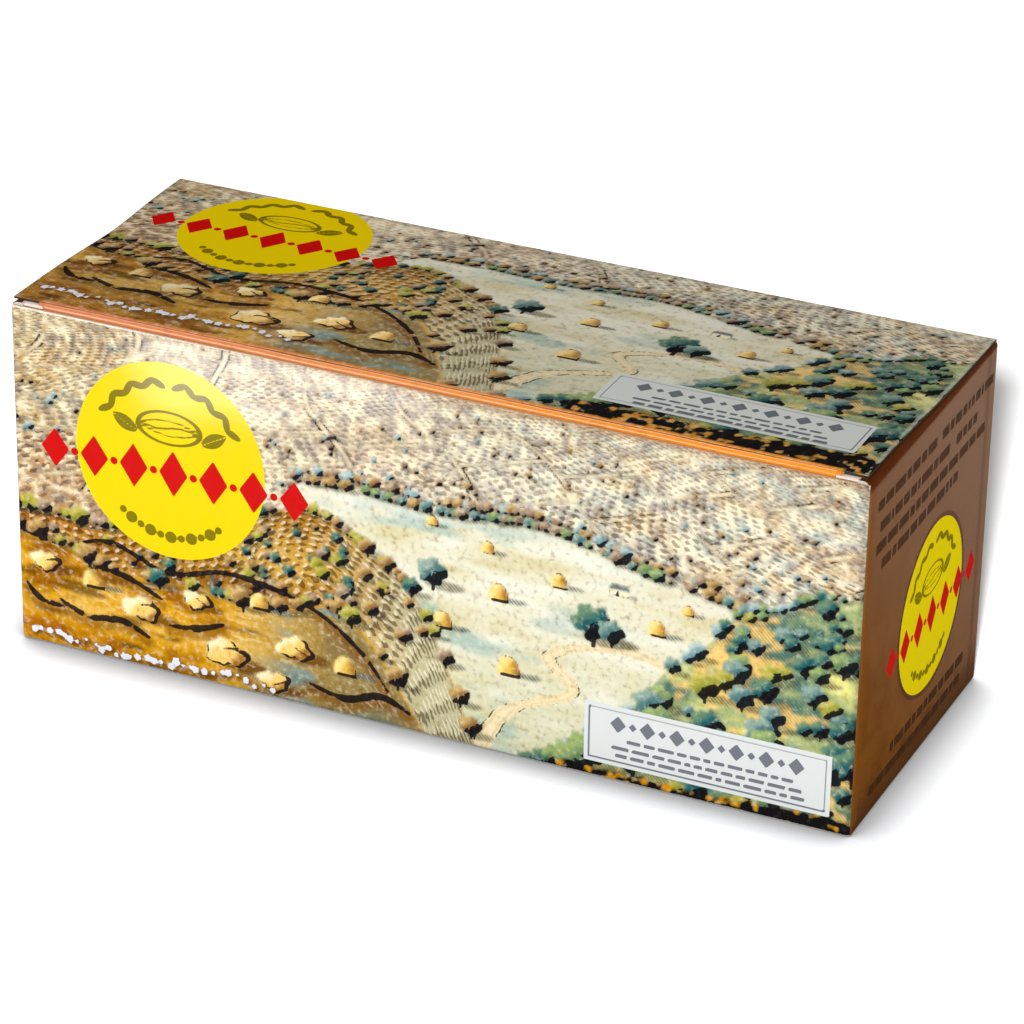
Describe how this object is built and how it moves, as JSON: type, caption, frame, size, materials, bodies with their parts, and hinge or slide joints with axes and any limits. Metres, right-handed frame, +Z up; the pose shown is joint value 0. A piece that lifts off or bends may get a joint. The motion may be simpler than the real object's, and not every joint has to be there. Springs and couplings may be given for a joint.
{
  "type": "praline carton",
  "caption": "Shut long paperboard box for pralines, with a printed front and lid, brown ends, a tucked lid fold and slits that lock it at the front.",
  "frame": {"origin": "middle of the face that the box stands on", "axes": "+X along the box, -Y out of the long printed front, +Z up"},
  "size_m": [0.2308, 0.0916, 0.0965],
  "materials": {
    "printed_board": "glossy printed paperboard"
  },
  "bodies": {
    "root": {"carton": "printed_board"}
  },
  "joints": []
}
